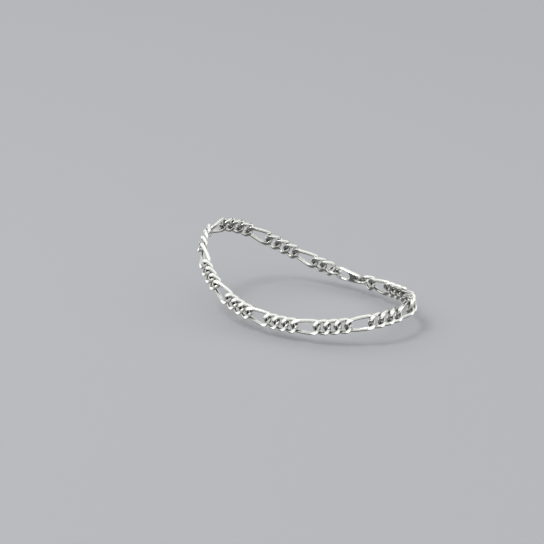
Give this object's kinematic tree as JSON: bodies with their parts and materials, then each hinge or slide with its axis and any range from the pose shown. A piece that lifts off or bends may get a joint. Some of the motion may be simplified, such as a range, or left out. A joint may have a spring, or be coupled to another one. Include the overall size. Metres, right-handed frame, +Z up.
{
  "type": "figaro chain anklet",
  "caption": "Polished silver figaro chain anklet with twisted flat links, one long after each three short, closed by a lobster clasp and shown as worn.",
  "frame": {"origin": "middle of the loop, where the ankle goes through; the part has no flat face to stand on, and an ankle holds it up there", "axes": "+X to the heel, -X to the toes, -Y to the side shown, with the clasp on the +Y side, +Z up the leg"},
  "size_m": [0.0975, 0.0645, 0.0266],
  "materials": {
    "silver": "polished silver"
  },
  "bodies": {
    "root": {"long_link_01": "silver", "long_link_02": "silver", "long_link_03": "silver", "long_link_04": "silver", "long_link_05": "silver", "long_link_06": "silver", "long_link_07": "silver", "long_link_08": "silver", "long_link_09": "silver", "long_link_10": "silver", "long_link_11": "silver", "short_link_01": "silver", "short_link_02": "silver", "short_link_03": "silver", "short_link_04": "silver", "short_link_05": "silver", "short_link_06": "silver", "short_link_07": "silver", "short_link_08": "silver", "short_link_09": "silver", "short_link_10": "silver", "short_link_11": "silver", "short_link_12": "silver", "short_link_13": "silver", "short_link_14": "silver", "short_link_15": "silver", "short_link_16": "silver", "short_link_17": "silver", "short_link_18": "silver", "short_link_19": "silver", "short_link_20": "silver", "short_link_21": "silver", "short_link_22": "silver", "short_link_23": "silver", "short_link_24": "silver", "short_link_25": "silver", "short_link_26": "silver", "short_link_27": "silver", "short_link_28": "silver", "short_link_29": "silver", "short_link_30": "silver", "short_link_31": "silver", "short_link_32": "silver", "short_link_33": "silver", "lobster_clasp": "silver", "end_ring": "silver", "clasp_ring": "silver"}
  },
  "joints": []
}
